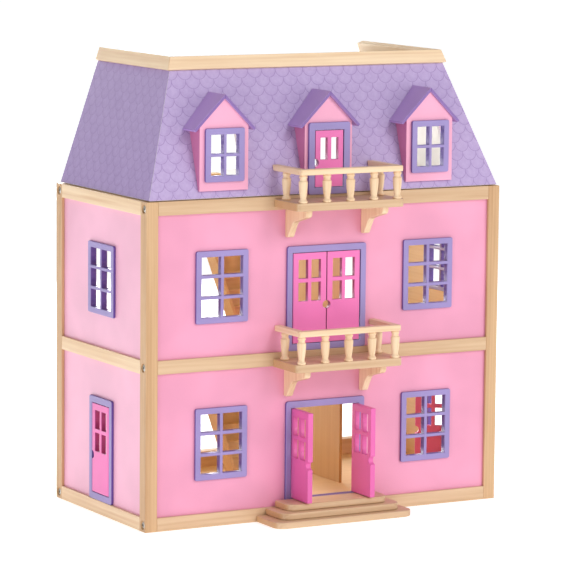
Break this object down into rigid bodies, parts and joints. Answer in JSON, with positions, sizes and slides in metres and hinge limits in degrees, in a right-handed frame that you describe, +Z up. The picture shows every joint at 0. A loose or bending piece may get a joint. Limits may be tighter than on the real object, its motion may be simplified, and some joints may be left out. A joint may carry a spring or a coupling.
{
  "type": "wooden dollhouse",
  "caption": "Three-storey wooden dollhouse with mansard roof, dormers, balconies with turned balusters, muntin windows and hinged double doors; open at the back.",
  "frame": {"origin": "on the ground under the middle of the whole outline, balconies and front steps included", "axes": "+Z up, the front with the double doors faces -Y, +X is to the right seen from the front"},
  "size_m": [0.62, 0.3908, 0.7115],
  "materials": {
    "pine": "clear satin varnish over pine",
    "front_wall": "satin pink paint outside, bare board inside",
    "side_wall": "satin pale pink paint outside, bare board inside",
    "lavender_paint": "satin lavender paint",
    "magenta_paint": "satin magenta paint",
    "dormer_roof_paint": "satin purple paint",
    "dormer_wall": "satin pink paint",
    "shingle_print": "printed lilac fish-scale shingles, satin",
    "plywood": "bare tan board",
    "steel": "zinc-plated steel"
  },
  "bodies": {
    "house": {"post_front_left": "pine", "post_front_right": "pine", "post_back_left": "pine", "post_back_right": "pine", "front_rails": "pine", "back_rails": "pine", "left_side_rails": "pine", "right_side_rails": "pine", "front_panel_lower": "front_wall", "front_panel_upper": "front_wall", "left_panel_lower": "side_wall", "left_panel_upper": "side_wall", "right_panel_lower": "side_wall", "right_panel_upper": "side_wall", "window_front_lower_left": "lavender_paint", "window_front_lower_right": "lavender_paint", "window_front_upper_left": "lavender_paint", "window_front_upper_right": "lavender_paint", "window_left_side": "lavender_paint", "window_right_side": "lavender_paint", "dormer_window_left": "lavender_paint", "dormer_window_right": "lavender_paint", "door_frame_ground": "lavender_paint", "door_frame_first": "lavender_paint", "door_frame_attic": "lavender_paint", "door_frame_left_side": "lavender_paint", "door_frame_right_side": "lavender_paint", "hinge_pins": "steel", "floor_ground": "plywood", "floor_first": "plywood", "floor_attic": "plywood", "partition_ground": "plywood", "partition_first": "plywood", "staircase_ground": "plywood", "staircase_first": "plywood", "roof_front": "shingle_print", "roof_left": "shingle_print", "roof_right": "shingle_print", "roof_deck": "shingle_print", "cornice_rails": "pine", "dormer_left": "dormer_wall", "dormer_centre": "dormer_wall", "dormer_right": "dormer_wall", "dormer_roofs": "dormer_roof_paint", "balcony_first_platform": "pine", "balcony_attic_platform": "pine", "balcony_first_handrail": "pine", "balcony_attic_handrail": "pine", "balusters": "pine", "balcony_brackets": "pine", "front_steps": "pine", "frame_bolts": "steel", "barrel_nuts": "steel"},
    "ground_left_door": {"door_leaf_ground_left": "magenta_paint"},
    "ground_right_door": {"door_leaf_ground_right": "magenta_paint"},
    "first_left_door": {"door_leaf_first_left": "magenta_paint"},
    "first_right_door": {"door_leaf_first_right": "magenta_paint"},
    "attic_door": {"door_leaf_attic": "magenta_paint"},
    "left_side_door": {"door_leaf_left_side": "magenta_paint"},
    "right_side_door": {"door_leaf_right_side": "magenta_paint"}
  },
  "joints": [
    {"name": "ground_left_door_hinge", "type": "hinge", "parent": "house", "child": "ground_left_door", "pos_m": [-0.0564, -0.11653, 0.10175], "axis": [0, 0, 1], "range_deg": [-4, 91]},
    {"name": "ground_right_door_hinge", "type": "hinge", "parent": "house", "child": "ground_right_door", "pos_m": [0.0564, -0.11653, 0.10175], "axis": [0, 0, 1], "range_deg": [-90, 5]},
    {"name": "first_left_door_hinge", "type": "hinge", "parent": "house", "child": "first_left_door", "pos_m": [-0.0564, -0.11653, 0.34125], "axis": [0, 0, 1], "range_deg": [-95, 0]},
    {"name": "first_right_door_hinge", "type": "hinge", "parent": "house", "child": "first_right_door", "pos_m": [0.0564, -0.11653, 0.34125], "axis": [0, 0, 1], "range_deg": [0, 95]},
    {"name": "attic_door_hinge", "type": "hinge", "parent": "house", "child": "attic_door", "pos_m": [0.0219, -0.12077, 0.553], "axis": [0, 0, 1], "range_deg": [0, 95]},
    {"name": "left_side_door_hinge", "type": "hinge", "parent": "house", "child": "left_side_door", "pos_m": [-0.30475, 0.01287, 0.10175], "axis": [0, 0, 1], "range_deg": [-95, 95]},
    {"name": "right_side_door_hinge", "type": "hinge", "parent": "house", "child": "right_side_door", "pos_m": [0.30475, 0.01287, 0.10175], "axis": [0, 0, 1], "range_deg": [-155, 35]}
  ]
}
